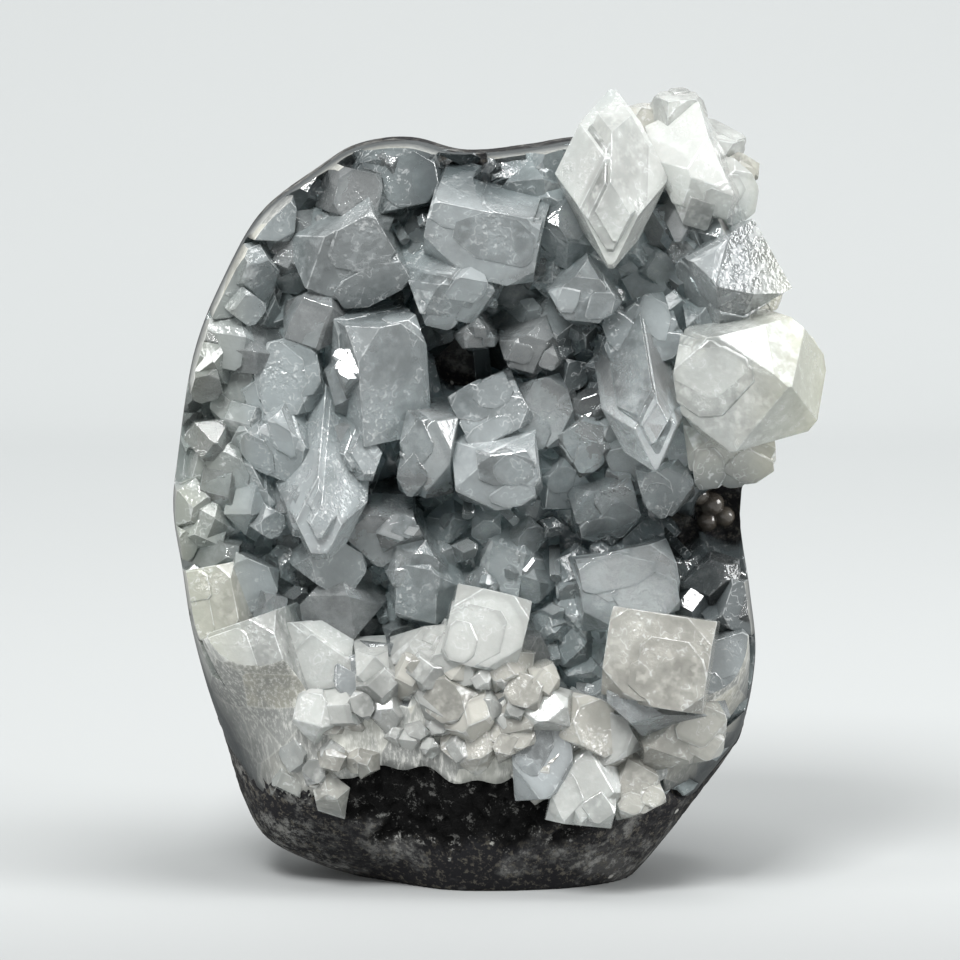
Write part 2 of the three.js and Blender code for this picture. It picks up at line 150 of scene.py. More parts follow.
# Rounded beads: x and z of the centre, height over the basalt and radius
BEADS_TOP = [
    (-14.2, 146.4, 1.4, 2.1), (-11.6, 144.6, 1.2, 2.4), (-8.4, 142.6, 1.4, 2.3), (-10.9, 140.4, 1, 2.3),
]
BEADS_RIGHT = [(38.2, 78.4, 1.2, 2.2), (41, 76.4, 1.4, 2.5), (43.5, 73.9, 1, 2.1), (40.2, 73, 1.1, 2.2)]

# Finishes of the crystals, in the order of the druse's material slots
LOOKS = ("clear", "cloudy", "milky", "creamy", "ground", "root")


class Crystal(NamedTuple):
    """The middle of the head, half widths, length, the way the head points, spin in degrees, how much of the
    point is cut off (0 is a full point, 2 a plain block), finish, and whether the back end is pointed too."""
    head: tuple
    a: float
    b: float
    length: float
    toward: tuple
    spin: float
    cap: float
    look: str
    tail: bool = False


# The large crystals, as the fields of Crystal. These stand out of the ground sides.
PROUD = [
    ((19.4, -34, 126.2), 8.2, 8.2, 37.5, (-0.03, -0.42, -0.9), 45, 0.12, "milky", True),
    ((33.4, -12, 159), 4.6, 4.2, 30, (0.02, -0.22, 1), 24, 1.45, "milky"),
    ((27.2, -9, 157), 3.6, 3.6, 26, (-0.08, -0.1, 1), 50, 0.95, "creamy"),
    ((41.6, -8, 151.8), 5, 5, 24, (0.3, -0.28, 0.9), 15, 1.35, "milky"),
    ((47.6, -14, 145.4), 3.4, 3.4, 20, (0.55, -0.7, 0.4), 20, 0.95, "creamy"),
    ((38, -28, 139.4), 6, 7.2, 21, (0.12, -0.8, -0.5), 30, 0.9, "milky"),
    ((45.4, -18, 139), 5, 5, 24, (0.5, -0.75, -0.1), 35, 1.25, "milky"),
    ((33.4, -24, 130.2), 3.6, 3.6, 24, (-0.1, -0.6, -0.8), 45, 0.2, "clear"),
    ((38.4, -26, 120.4), 7.4, 7.8, 14, (-0.76, -0.45, -0.46), 12, 1.05, "cloudy"),
    ((49.6, -14, 121), 6, 6, 30, (0.45, -0.75, -0.1), 8, 1.35, "creamy"),
    ((43.4, -37, 101.4), 11.8, 11.2, 23, (-0.34, -0.92, -0.16), 6, 1.2, "milky", True),
    ((56.4, -20, 106.6), 6.6, 6.6, 26, (0.3, -0.9, 0.1), 30, 1.35, "creamy"),
    ((44, -26, 87.4), 8.6, 6.4, 28, (0.06, -0.86, -0.44), 8, 1.15, "creamy"),
    ((-4.4, -37, 55), 7.6, 7.4, 32, (0.05, -0.96, 0.15), -14, 1.35, "milky"),
    ((-17, -33, 50), 6.4, 4.8, 30, (-0.1, -0.95, 0.2), 12, 0.95, "milky"),
    ((28.4, -40, 50), 10.4, 9, 34, (-0.1, -0.97, 0.12), -8, 1.4, "creamy"),
    ((19.4, -37, 41.6), 4.4, 6, 26, (-0.75, -0.55, 0.1), 35, 0.3, "clear"),
    ((34.6, -32, 33), 8.8, 5.4, 26, (0.2, -0.9, 0.1), 12, 0.95, "creamy"),
    ((-39.8, -29, 48.6), 8.2, 7, 28, (-0.15, -0.97, 0.1), 6, 1.05, "milky"),
    ((-28.4, -31, 44), 6, 6, 26, (0, -0.95, 0.2), 30, 1.05, "cloudy"),
    ((-0.4, -35, 34.6), 4.6, 4.6, 20, (0, -0.9, 0.3), 25, 0.9, "creamy"),
    ((-12, -34, 38.6), 5.2, 4.4, 20, (-0.1, -0.9, 0.3), 10, 1.1, "milky"),
    ((-20.6, -33, 34.6), 3.8, 3.8, 18, (-0.2, -0.9, 0.3), 40, 1, "milky"),
    ((6.4, -35, 30), 6, 9, 22, (0, -0.95, 0.15), 4, 1.15, "cloudy"),
    ((15.4, -34.5, 24.4), 6.6, 8.6, 20, (0.05, -0.95, 0.1), -10, 0.95, "milky"),
    ((25, -31, 23), 5, 6, 20, (0.1, -0.95, 0.1), 20, 1.05, "creamy"),
]

# These are cut flat wherever they reach the grinding surface
SAWN = [
    ((-23.4, -20, 143.6), 9, 7.4, 26, (-0.16, -0.95, 0.1), 12, 1.25, "cloudy"),
    ((-30.4, -30.8, 107.6), 4.2, 3.4, 16, (-0.124, -0.886, 0.449), 25, 0.95, "cloudy"),
    ((-34.8, -23, 134), 4, 4, 26, (-0.2, -1, 0.3), 40, 0.8, "clear"),
    ((-31.4, -27, 125), 9.6, 9.2, 26, (0.1, -0.9, -0.35), 30, 1.25, "cloudy"),
    ((-43.4, -22, 131), 5.6, 5.6, 26, (-0.3, -1, 0.2), 20, 0.95, "clear"),
    ((-51, -18, 119.6), 5, 7, 26, (-0.3, -1, 0.1), 10, 1.25, "cloudy"),
    ((-5.6, -31, 130.2), 10.8, 7.2, 26, (-0.12, -0.94, -0.28), -12, 1.45, "cloudy"),
    ((-10.4, -28, 118.8), 7.4, 5.8, 26, (0.1, -0.86, -0.5), 25, 0.95, "cloudy"),
    ((-6.4, -26, 111), 3.2, 3.2, 26, (0.1, -0.9, -0.3), 45, 0.8, "clear"),
    ((8.4, -24, 129), 5, 6, 30, (-0.45, -0.7, -0.5), 20, 1.15, "clear"),
    ((3.6, -18, 147), 7.6, 4.4, 26, (0, -0.85, 0.5), 5, 1.25, "cloudy"),
    ((21, -20, 124), 9.4, 6.4, 26, (0.1, -0.95, -0.2), 10, 1.05, "clear"),
    ((14.8, -29, 119), 5.4, 5.4, 26, (0.05, -0.95, -0.25), 38, 1.05, "cloudy"),
    ((4.2, -26, 108), 5.2, 4.6, 26, (0, -0.9, -0.3), 25, 0.95, "clear"),
    ((26, -25, 112.6), 7.6, 6.6, 26, (-0.1, -0.95, 0.2), 20, 1.15, "cloudy"),
    ((28.6, -37, 86.4), 6.3, 6.3, 38, (0.12, -0.62, -0.78), 45, 0.1, "clear"),
    ((31.6, -25, 81), 5.4, 5.4, 26, (0.1, -0.95, -0.3), 15, 1.15, "cloudy"),
    ((-26.8, -24, 116), 7.7, 7.5, 24, (-0.06, -0.24, 0.97), 40, 1.25, "cloudy"),
    ((-37.4, -33, 69), 6.2, 6.2, 38, (-0.06, -0.55, -0.83), 45, 0.3, "cloudy"),
    ((-41, -29, 72.8), 5.4, 5.4, 30, (-0.2, -0.6, -0.77), 30, 0.4, "cloudy"),
    ((-46, -26, 88), 6, 7.4, 26, (-0.2, -0.9, -0.35), 30, 0.95, "cloudy"),
    ((-28, -28, 84), 4.6, 4.6, 26, (0.25, -0.7, -0.65), 45, 0.3, "cloudy"),
    ((-43.8, -24, 103.6), 6.4, 7.6, 26, (-0.1, -0.95, 0.1), 12, 1.25, "cloudy"),
    ((-55.4, -20, 101.6), 5.2, 7, 26, (-0.3, -0.9, 0.1), 15, 0.95, "milky"),
    ((-57.4, -22, 80.6), 8.4, 8.8, 26, (-0.25, -0.95, -0.2), 25, 1.25, "cloudy"),
    ((-60.6, -15, 65), 4, 4, 26, (-0.4, -0.9, 0), 30, 0.95, "milky"),
    ((-3.8, -27, 97.6), 6.8, 6.2, 26, (-0.1, -0.95, 0.1), 30, 1.25, "cloudy"),
    ((6.8, -25, 96.6), 5.8, 6.6, 26, (0.1, -0.95, 0.1), 14, 1.25, "clear"),
    ((-2.8, -31, 83.6), 8.4, 6.2, 26, (0, -0.92, -0.35), 8, 1.15, "cloudy"),
    ((-16.8, -28, 87.6), 5.4, 8.4, 26, (-0.2, -0.9, -0.2), -8, 1.05, "clear"),
    ((16, -24, 90.4), 5, 5, 26, (0.3, -0.9, 0), 30, 1.15, "clear"),
    ((11, -23, 80.6), 5.2, 5.2, 26, (0.2, -0.9, -0.2), 42, 1.1, "cloudy"),
    ((19.4, -24, 76.4), 6.6, 5.6, 26, (0.2, -0.9, -0.3), 14, 1.15, "clear"),
    ((-22.4, -27, 74.4), 4.2, 3.2, 26, (-0.1, -0.9, 0.3), 20, 0.95, "clear"),
    ((-19.6, -25, 65.6), 5.2, 5.2, 26, (0, -0.9, -0.3), 35, 0.95, "clear"),
    ((24, -28, 62.4), 9.6, 7.4, 30, (0.15, -0.95, 0.05), 10, 1.25, "clear"),
    ((-52, -34, 47), 8, 8.6, 30, (-0.3, -0.95, 0), 20, 1.6, "milky"),
    ((-55, -31, 33), 7, 7.6, 30, (-0.3, -0.95, 0), -15, 1.6, "cloudy"),
    ((-44.6, -35, 35), 6, 7, 30, (-0.1, -0.95, 0), 30, 1.6, "creamy"),
    ((-47, -33, 22), 7, 6, 30, (-0.2, -0.95, 0), 10, 1.6, "cloudy"),
    ((-35, -36, 26), 6, 5.4, 30, (0, -0.95, 0.1), -20, 1.6, "milky"),
    ((-59.6, -27, 59), 6, 7, 30, (-0.4, -0.9, 0), 12, 1.6, "creamy"),
    ((43, -28, 44), 7, 8, 30, (0.3, -0.95, 0), 14, 1.6, "cloudy"),
    ((39, -29, 30), 6, 6, 30, (0.2, -0.95, 0), 40, 1.6, "milky"),
]


# Properties

def length_mm(name, text, value, low, high):
    """A length property, kept in metres and given here in millimetres."""
    return bpy.props.FloatProperty(
        name=name, description=text, default=value * MM, min=low * MM, max=high * MM,
        unit="LENGTH", subtype="DISTANCE")


def tint(name, text, value):
    """A colour property."""
    return bpy.props.FloatVectorProperty(
        name=name, description=text, default=value, size=3, min=0.0, max=1.0, subtype="COLOR")


def count_of(name, text, value, high):
    """A number of pieces."""
    return bpy.props.IntProperty(name=name, description=text, default=value, min=0, max=high)


class SpecimenSizes(bpy.types.PropertyGroup):
    """Sizes that a user may change."""
    edge_round: length_mm("Edge round", "Width of the worn edge of each crystal", 0.16, 0.02, 0.6)
    crust: length_mm("Crust", "Thickness of the layer that joins the crystals' feet", 6.5, 1.0, 10.0)
    small_count: count_of("Small crystals", "Crystals of 5 to 11 mm between the large ones", 240, 400)
    tiny_count: count_of("Tiny crystals", "Crystals of 2 to 4 mm in the gaps", 320, 800)


class SpecimenTints(bpy.types.PropertyGroup):
    """Colours that a user may change."""
    crystal: tint("Crystal", "Cloudy crystal", (0.80, 0.86, 0.87))
    cream: tint("Cream", "Creamy crystal of the lower band", (0.97, 0.96, 0.87))
    basalt: tint("Basalt", "Dark basalt", (0.018, 0.018, 0.020))
    floor: tint("Floor", "Pale floor", (0.275, 0.284, 0.284))


# Shape functions, on whole arrays of millimetres

def smoothstep(value, low, high):
    """0 below low, 1 above high, and 3 t^2 - 2 t^3 of the share t of the way between them."""
    t = np.clip((value - low) / (high - low), 0, 1)
    return t * t * (3 - 2 * t)


def wave_noise(points, scale, seed, octaves=3):
    """A sum of sine products along turned directions, each octave twice as fine and half as high."""
    rng = np.random.default_rng(seed)
    total = np.zeros(len(points))
    for octave in range(octaves):
        k = rng.normal(size=(4, 3))
        k /= np.linalg.norm(k, axis=1)[:, None]
        phase = rng.uniform(0, 2 * math.pi, 4)
        waves = np.sin(points @ k.T * (2 * math.pi * 2 ** octave / scale) + phase)
        total += (waves[:, 0] * waves[:, 1] + waves[:, 2] * waves[:, 3]) / 2 ** (octave + 1)
    return total


def cell_noise(points, size, seed):
    """Distance to the nearest point of a jittered grid, as a share of its cell. The jitter is the broken
    part of a large multiple of a sine."""
    cell = np.floor(points / size)
    best = np.full(len(points), FAR_CELL)
    for step in itertools.product((-1, 0, 1), repeat=3):
        corner = cell + step
        jitter = np.abs(np.sin(corner @ JITTER_TURNS + seed) * JITTER_SCALE) % 1
        gap = points / size - corner - jitter
        best = np.minimum(best, np.linalg.norm(gap, axis=1))
    return best


def oval_reach(x, z, oval, margin=0.0):
    """How far a place lies from the middle of an oval widened by the margin, 1 at its edge."""
    middle_x, middle_z, half_width, half_height = oval
    return np.hypot((x - middle_x) / (half_width + margin), (z - middle_z) / (half_height + margin))


def oval_share(x, z, ovals, margin, inner, outer):
    """1 inside the widened ovals, falling to 0 between the reaches inner and outer."""
    return np.max([1 - smoothstep(oval_reach(x, z, oval, margin), inner, outer) for oval in ovals], axis=0)


def outline_points(steps):
    """The ground outline as evenly spaced points: a closed Catmull-Rom curve through its corners."""
    p0, p1, p2, p3 = (np.roll(OUTLINE, k, axis=0)[:, None] for k in (1, 0, -1, -2))
    t = np.linspace(0, 1, 24, endpoint=False)[None, :, None]
    curve = 0.5 * (2 * p1 + (p2 - p0) * t + (2 * p0 - 5 * p1 + 4 * p2 - p3) * t ** 2
                   + (3 * p1 - p0 - 3 * p2 + p3) * t ** 3)
    curve = curve.reshape(-1, 2)
    closed = np.vstack([curve, curve[:1]])
    run = np.concatenate([[0], np.cumsum(np.linalg.norm(np.diff(closed, axis=0), axis=1))])
    at = np.linspace(0, run[-1], steps, endpoint=False)
    return np.stack([np.interp(at, run, closed[:, 0]), np.interp(at, run, closed[:, 1])], axis=1)


def grinding_y(x, z, s):
    """Depth of the ground surface at a share s of the way to the outline: a superellipse, rounder below."""
    reach = np.maximum(np.hypot(x - CENTRE_X, z - CENTRE_Z), 1e-6)
    down = smoothstep((CENTRE_Z - z) / reach, DOWN_START, DOWN_FULL)
    depth = FRONT_DEPTH + (LOW_FRONT_DEPTH - FRONT_DEPTH) * down
    power = FRONT_ROUNDNESS + (LOW_FRONT_ROUNDNESS - FRONT_ROUNDNESS) * down
    return RIM_Y - depth * (1 - s ** power) ** (1 / power)


def ledge_z(x):
    """Height of the ledge at the foot: highest near the middle, falling to both sides by a parabola each."""
    fall = np.where(x < LEDGE_CROWN_X, LEDGE_FALL_LEFT, LEDGE_FALL_RIGHT)
    return LEDGE_Z - fall * (x - LEDGE_CROWN_X) ** 2


def growth_y(x, z):
    """Depth of the surface that the crystals grew on: low waves, sunk hollows, and a slope forwards below
    the ragged ledge."""
    y = GROWTH_Y - WAVE_HEIGHT * np.sin(x / WAVE_X + 1) * np.cos(z / WAVE_Z)
    for oval in HOLLOWS:
        y = y + HOLLOW_DEPTH * (1 - smoothstep(oval_reach(x, z, oval, HOLLOW_MARGIN), 0.3, 1))
    swell = LEDGE_SWELL * np.sin(x / LEDGE_SWELL_X + 1)
    ripple = LEDGE_RIPPLE * np.sin(x / LEDGE_RIPPLE_X) * np.cos(x / LEDGE_BEAT_X)
    return y - LEDGE_SLOPE * np.maximum(0, ledge_z(x) + swell + ripple - z)


def ring_shares(count):
    """Shares from the outline to the middle: a power of the sine of even steps, close near the outline."""
    return np.sin(np.linspace(1, 0, count, endpoint=False) * math.pi / 2) ** RING_POWER


def tube_faces(rows, columns):
    """Quads of a grid that closes on itself sideways, and fans to the two end points after it."""
    a = np.arange(rows * columns).reshape(rows, columns)
    b = np.roll(a, -1, axis=1)
    quads = np.stack([a[:-1], a[1:], b[1:], b[:-1]], axis=-1).reshape(-1, 4)
    first = np.stack([np.full(columns, a.size), a[0], b[0]], axis=1)
    last = np.stack([np.full(columns, a.size + 1), b[-1], a[-1]], axis=1)
    return quads.tolist() + first.tolist() + last.tolist()


def outline_body(front_y, wide, thick, steps, back_shares, front_shares):
    """Vertices and faces of rings inside the outline: a superellipse as the back, and a front whose depth is
    front_y(x, z, s). wide is added all round, and thick at the front and the back."""
    middle = np.array([CENTRE_X, CENTRE_Z])
    outline = outline_points(steps) - middle
    reach = np.linalg.norm(outline, axis=1)
    rings = []

    def ring(s, y):
        x, z = (outline * (s * (1 + wide / reach))[:, None] + middle).T
        rings.append(np.stack([x, np.broadcast_to(y, steps), z], axis=1))

    for s in back_shares:
        ring(s, RIM_Y + thick + BACK_DEPTH * (1 - s ** BACK_ROUNDNESS) ** (1 / BACK_ROUNDNESS))
    for s in front_shares:
        ring(s, front_y(*(outline * s + middle).T, s) - (thick if s < 1 else 0))
    front = front_y(*middle[:, None], 0.0)[0] - thick
    ends = [(CENTRE_X, RIM_Y + BACK_DEPTH + thick, CENTRE_Z), (CENTRE_X, front, CENTRE_Z)]
    return np.vstack(rings + [ends]), tube_faces(len(rings), steps)


def crystal_planes(crystal, rng, wobble):
    """The flat faces of a crystal as outward normals and distances, and its frame: four prism faces, four
    faces of the point over the prism's edges, the flat end and the root. wobble moves each face a little
    and lets one to three small chips take off corners near the head."""
    a, b, cap = crystal.a, crystal.b, crystal.cap
    axis = Vector(crystal.toward).normalized()
    side = Vector((0, 0, 1)).cross(axis)
    side = side.normalized() if side.length > 0.05 else Vector((1, 0, 0))
    spin = math.radians(crystal.spin)
    c, s = math.cos(spin), math.sin(spin)
    basis = np.array([[c, s, 0], [-s, c, 0], [0, 0, 1]]) @ np.array([side, axis.cross(side), axis])
    steep = 2 / (PYRAMID_RATIO * min(a, b))
    corners = list(itertools.product((-1, 1), repeat=2))
    normals, offsets = [], []

    def face(u, v, w, distance):
        size = math.sqrt(u * u + v * v + w * w)
        normals.append((u / size, v / size, w / size))
        offsets.append(distance / size)

    for u, v, distance in ((1, 0, a), (-1, 0, a), (0, 1, b), (0, -1, b)):
        face(u, v, 0, distance * (1 + SIDE_WOBBLE * wobble * rng.uniform(-1, 1)))
    for i, j in corners:
        face(i / a, j / b, steep, cap + POINT_WOBBLE * wobble * rng.uniform(-1, 1) * min(1, cap + 0.3))
    face(0, 0, 1, 0)
    face(0, 0, -1, crystal.length)
    if crystal.tail:
        for i, j in corners:
            face(i / a, j / b, -steep, cap + steep * crystal.length)
    if wobble:
        whole = polyhedron(np.array(normals), np.array(offsets))
        for _ in range(rng.integers(1, 4)):
            across = [rng.choice((-1, 1)) * rng.uniform(*CHIP_LEAN) for _ in range(2)]
            chip = np.array([*across, rng.uniform(*CHIP_RISE)])
            bite = rng.uniform(*CHIP_BITE) * min(1, 0.15 + cap)
            reach = (whole @ chip).max() - bite * min(a, b) * np.linalg.norm(chip)
            face(*chip, reach)
    return np.array(normals), np.array(offsets), basis


def polyhedron(normals, offsets):
    """Corners of the convex body inside all planes: the points where three meet and that none cuts off."""
    triples = np.array(list(itertools.combinations(range(len(normals)), 3)))
    matrix = normals[triples]
    solvable = np.abs(np.linalg.det(matrix)) > 1e-4
    points = np.linalg.solve(matrix[solvable], offsets[triples[solvable]][..., None])[..., 0]
    inside = np.all(points @ normals.T <= offsets + 1e-6, axis=1)
    return np.unique(np.round(points[inside], 5), axis=0)


def crystal_mesh(crystal, planes, number, edge):
    """The convex hull of a crystal's corners, with its edges worn and its number on every face."""
    normals, offsets, basis = planes
    corners = polyhedron(normals, offsets) @ basis + crystal.head
    bm = bmesh.new()
    verts = [bm.verts.new(p) for p in corners * MM]
    bmesh.ops.convex_hull(bm, input=verts)
    bmesh.ops.dissolve_limit(bm, angle_limit=0.02, verts=bm.verts, edges=bm.edges)
    shortest = min(e.calc_length() for e in bm.edges)
    bmesh.ops.bevel(bm, geom=list(bm.edges), offset=min(edge, shortest * 0.3), segments=1, affect="EDGES")
    bmesh.ops.recalc_face_normals(bm, faces=bm.faces)
    mesh = bpy.data.meshes.new("crystal")
    bm.to_mesh(mesh)
    bm.free()
    number_faces(mesh, number)
    return mesh


def number_faces(mesh, number):
    """The same number on every face, which the boolean joins keep."""
    write(mesh, "crystal", np.full(len(mesh.polygons), number, dtype=np.int32), "FACE", "INT")
    return mesh


def shares(count, step, start=0.0):
    """An even sequence between 0 and 1: the broken part of every multiple of the step."""
    return (start + np.arange(1, count + 1) * step) % 1


def between(limits, share):
    """The value at a share of the way from the lower to the upper limit."""
    return limits[0] + (limits[1] - limits[0]) * share


def spread(count, heights, sizes, rises, root, start, lean, looks, rng):
    """Smaller crystals spread evenly over the front by the plastic number's sequence, each turned and tilted
    by a multiple of the golden angle. heights, sizes and rises limit the places above the base, the half
    widths and the heights over the basalt. None stands in a dark hollow."""
    x = between(SPREAD_X, shares(count, 1 / PLASTIC_NUMBER, start))
    z = between(heights, shares(count, 1 / PLASTIC_NUMBER ** 2, start))
    turn = np.arange(1, count + 1) * GOLDEN_ANGLE
    a = between(sizes, shares(count, RATIO_A))
    b = a * (0.85 + 0.3 * shares(count, RATIO_B))
    rise = between(rises, shares(count, RATIO_RISE))
    y = growth_y(x, z) - rise
    cap = 0.3 + 1.35 * shares(count, RATIO_CAP)
    kind = rng.integers(0, len(looks), count)
    found = []
    for i in range(count):
        if min(oval_reach(x[i], z[i], oval, a[i]) for oval in HOLLOWS) < 1:
            continue
        toward = (lean * math.cos(turn[i]), -1, lean * math.sin(turn[i]))
        found.append(Crystal((x[i], y[i], z[i]), a[i], b[i], rise[i] + root, toward,
                             math.degrees(turn[i]) % 90, cap[i], looks[kind[i]]))
    return found


def growth_steps(parent, rng):
    """Smaller blocks grown in parallel with a large crystal and pushed into its corners. They stand out of
    the head of a blunt crystal and out of the sides of a sharp one."""
    basis = crystal_planes(parent, rng, 0)[2]
    blunt = parent.cap > BLUNT_CAP
    found = []
    for _ in range(4 if parent.a > 6 and parent.look in ("clear", "cloudy") else 2):
        wide, high = rng.uniform(*STEP_SIZE, 2)
        u = rng.choice((-1, 1)) * parent.a * (1.02 - wide) * rng.uniform(*STEP_SHIFT)
        v = rng.choice((-1, 1)) * parent.b * (1.02 - high) * rng.uniform(*STEP_SHIFT)
        out = rng.uniform(*STEP_OUT) if blunt else -rng.uniform(*STEP_BACK)
        found.append(parent._replace(
            head=tuple(parent.head + u * basis[0] + v * basis[1] + out * basis[2]),
            a=parent.a * wide, b=parent.b * high, length=parent.length * 0.8,
            cap=min(1.7, parent.cap + 0.15) if blunt else parent.cap))
    return found


def outline_share(x, z):
    """How far a place lies from the middle, as a share of the way to the outline."""
    outline = outline_points(400) - (CENTRE_X, CENTRE_Z)
    turn = np.arctan2(outline[:, 1], outline[:, 0])
    order = np.argsort(turn)
    reach = np.linalg.norm(outline, axis=1)[order]
    dx, dz = x - CENTRE_X, z - CENTRE_Z
    return np.hypot(dx, dz) / np.interp(np.arctan2(dz, dx), turn[order], reach, period=2 * math.pi)


def band(count, sizes, drop, rise, rng):
    """Creamy and milky crystals in front of the ledge. Their feet follow it from side to side and their
    heads stand a little out of the ground slope. sizes, drop and rise limit the half widths, the fall below
    the ledge and the height over the slope."""
    x = np.linspace(*BAND_X, count) + rng.uniform(-2.5, 2.5, count)
    z = ledge_z(x) - rng.uniform(*drop, count)
    share = outline_share(x, z)
    y = grinding_y(x, z, np.minimum(share, 0.97)) - rng.uniform(*rise, count)
    found = []
    for i in range(count):
        a = rng.uniform(*sizes)
        toward = (0.012 * x[i] + rng.uniform(-0.4, 0.4), -1, rng.uniform(-0.2, 0.6))
        look = ("milky", "milky", "creamy")[rng.integers(0, 3)]
        spin, cap, wide = rng.uniform(0, 90), rng.uniform(0.4, 1.5), rng.uniform(0.8, 1.2)
        bare = oval_reach(x[i], z[i], PATCH) < rng.uniform(0.6, 1.1)
        cover = growth_y(x[i], z[i]) - grinding_y(x[i], z[i], share[i])
        if not bare and share[i] < 0.9 - a / 100 and cover > -0.8:
            found.append(Crystal((x[i], y[i], z[i]), a, a * wide, BAND_LENGTH, toward, spin, cap, look))
    return found


# Mesh and boolean helpers

def new_mesh(name, verts_mm, faces):
    """A mesh of vertices in millimetres."""
    mesh = bpy.data.meshes.new(name)
    mesh.from_pydata((np.asarray(verts_mm) * MM).tolist(), [], faces)
    mesh.validate()
    return mesh


def write(mesh, name, values, domain, kind="FLOAT"):
    """A new attribute with a value for each vertex, face or corner."""
    if kind != "INT":
        values = values.astype(np.float32)
    key = "vector" if kind == "FLOAT_VECTOR" else "value"
    mesh.attributes.new(name, kind, domain).data.foreach_set(key, values.ravel())


def read(items, name, width=1, kind=float):
    """A property of all the mesh's items as an array."""
    values = np.zeros(len(items) * width, dtype=kind)
    items.foreach_get(name, values)
    return values.reshape(-1, width) if width > 1 else values


def add_object(name, data):
    """An object of this mesh, light or camera in the scene."""
    thing = bpy.data.objects.new(name, data)
    bpy.context.scene.collection.objects.link(thing)
    return thing


def combine(name, base, others, operation):
    """The union, intersection or difference of the base mesh with every other mesh, as a new mesh."""
    if not others:
        return base
    holder = bpy.data.collections.new(name + "_operands")
    bpy.context.scene.collection.children.link(holder)
    body = add_object(name + "_body", base)
    tools = [bpy.data.objects.new(name + "_operand", mesh) for mesh in others]
    for tool in tools:
        holder.objects.link(tool)
    cut = body.modifiers.new("Join", "BOOLEAN")
    cut.operation = operation
    cut.operand_type = "COLLECTION"
    cut.collection = holder
    cut.solver = "MANIFOLD"
    result = bpy.data.meshes.new_from_object(body.evaluated_get(bpy.context.evaluated_depsgraph_get()))
    for thing in tools + [body]:
        bpy.data.objects.remove(thing)
    bpy.data.collections.remove(holder)
    if not result.polygons:
        raise RuntimeError(name + " came out empty")
    return result


def finish_piece(name, mesh, materials, node):
    """An object that rides on the root body and stands for its CAD node."""
    mesh.name = name
    piece = add_object(name, mesh)
    mesh.materials.clear()
    for material in materials:
        mesh.materials.append(material)
    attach(piece, "root")
    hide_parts(node)


# Materials

class Nodes:
    """A short way to write a node tree."""

    def __init__(self, name):
        self.material = bpy.data.materials.new(name)
        self.material.use_nodes = True
        self.tree = self.material.node_tree
        self.shader = self.tree.nodes["Principled BSDF"]
        self.output = self.tree.nodes["Material Output"]

    def add(self, kind, inputs=None, **settings):
        node = self.tree.nodes.new(kind)
        for key, value in settings.items():
            setattr(node, key, value)
        for key, value in (inputs or {}).items():
            self.set(node.inputs[key], value)
        return node

    def set(self, socket, value):
        """A link from another node's output, or a value on the socket itself."""
        if isinstance(value, bpy.types.NodeSocket):
            self.tree.links.new(value, socket)
        elif isinstance(value, (tuple, list)) and len(value) == 3 and socket.type == "RGBA":
            socket.default_value = (*value, 1.0)
        else:
            socket.default_value = value

    def shaded(self, inputs):
        """The material, with the shader's inputs set."""
        for key, value in inputs.items():
            self.set(self.shader.inputs[key], value)
        return self.material

    def place(self, scale=(1, 1, 1), turn=(0, 0, 0)):
        """Object coordinates through a mapping."""
        coordinates = self.add("ShaderNodeTexCoord").outputs["Object"]
        inputs = {"Vector": coordinates, "Scale": scale, "Rotation": turn}
        return self.add("ShaderNodeMapping", inputs).outputs["Vector"]

    def noise(self, vector, scale, detail=4.0, roughness=0.55, distortion=0.0):
        inputs = {"Vector": vector, "Scale": scale, "Detail": detail, "Roughness": roughness,
                  "Distortion": distortion}
        return self.add("ShaderNodeTexNoise", inputs).outputs["Fac"]

    def cells(self, vector, scale, feature="F1"):
        return self.add("ShaderNodeTexVoronoi", {"Vector": vector, "Scale": scale}, feature=feature).outputs

    def ramp(self, value, low, high, start=0.0, end=1.0):
        inputs = {"Value": value, "From Min": low, "From Max": high, "To Min": start, "To Max": end}
        return self.add("ShaderNodeMapRange", inputs).outputs["Result"]

    def math(self, operation, first, second=0.0):
        return self.add("ShaderNodeMath", {0: first, 1: second}, operation=operation).outputs[0]

    def plus(self, first, second):
        return self.math("ADD", first, second)

    def minus(self, first, second):
        return self.math("SUBTRACT", first, second)

    def times(self, first, second):
        return self.math("MULTIPLY", first, second)

    def mix(self, share, first, second):
        """The colour at a share of the way from the first to the second."""
        return self.add("ShaderNodeMix", {0: share, 6: first, 7: second}, data_type="RGBA").outputs[2]

    def layers(self, body, rows):
        """Colours laid over the body. A row is a mask, the two values between which the cover goes from its
        first to its last share, these shares, and the colour."""
        for mask, low, high, first, last, colour in rows:
            body = self.mix(self.ramp(mask, low, high, first, last), body, colour)
        return body

    def axes(self, vector):
        """The X, Y and Z outputs of a vector."""
        return self.add("ShaderNodeSeparateXYZ", {"Vector": vector}).outputs

    def attribute(self, name, output="Fac"):
        return self.add("ShaderNodeAttribute", attribute_name=name).outputs[output]

    def bump(self, height, strength, distance_mm):
        inputs = {"Height": height, "Strength": strength, "Distance": distance_mm * MM}
        return self.add("ShaderNodeBump", inputs).outputs["Normal"]


def scaled(colour, share):
    """A colour made lighter or darker."""
    return tuple(min(1.0, c * share) for c in colour)


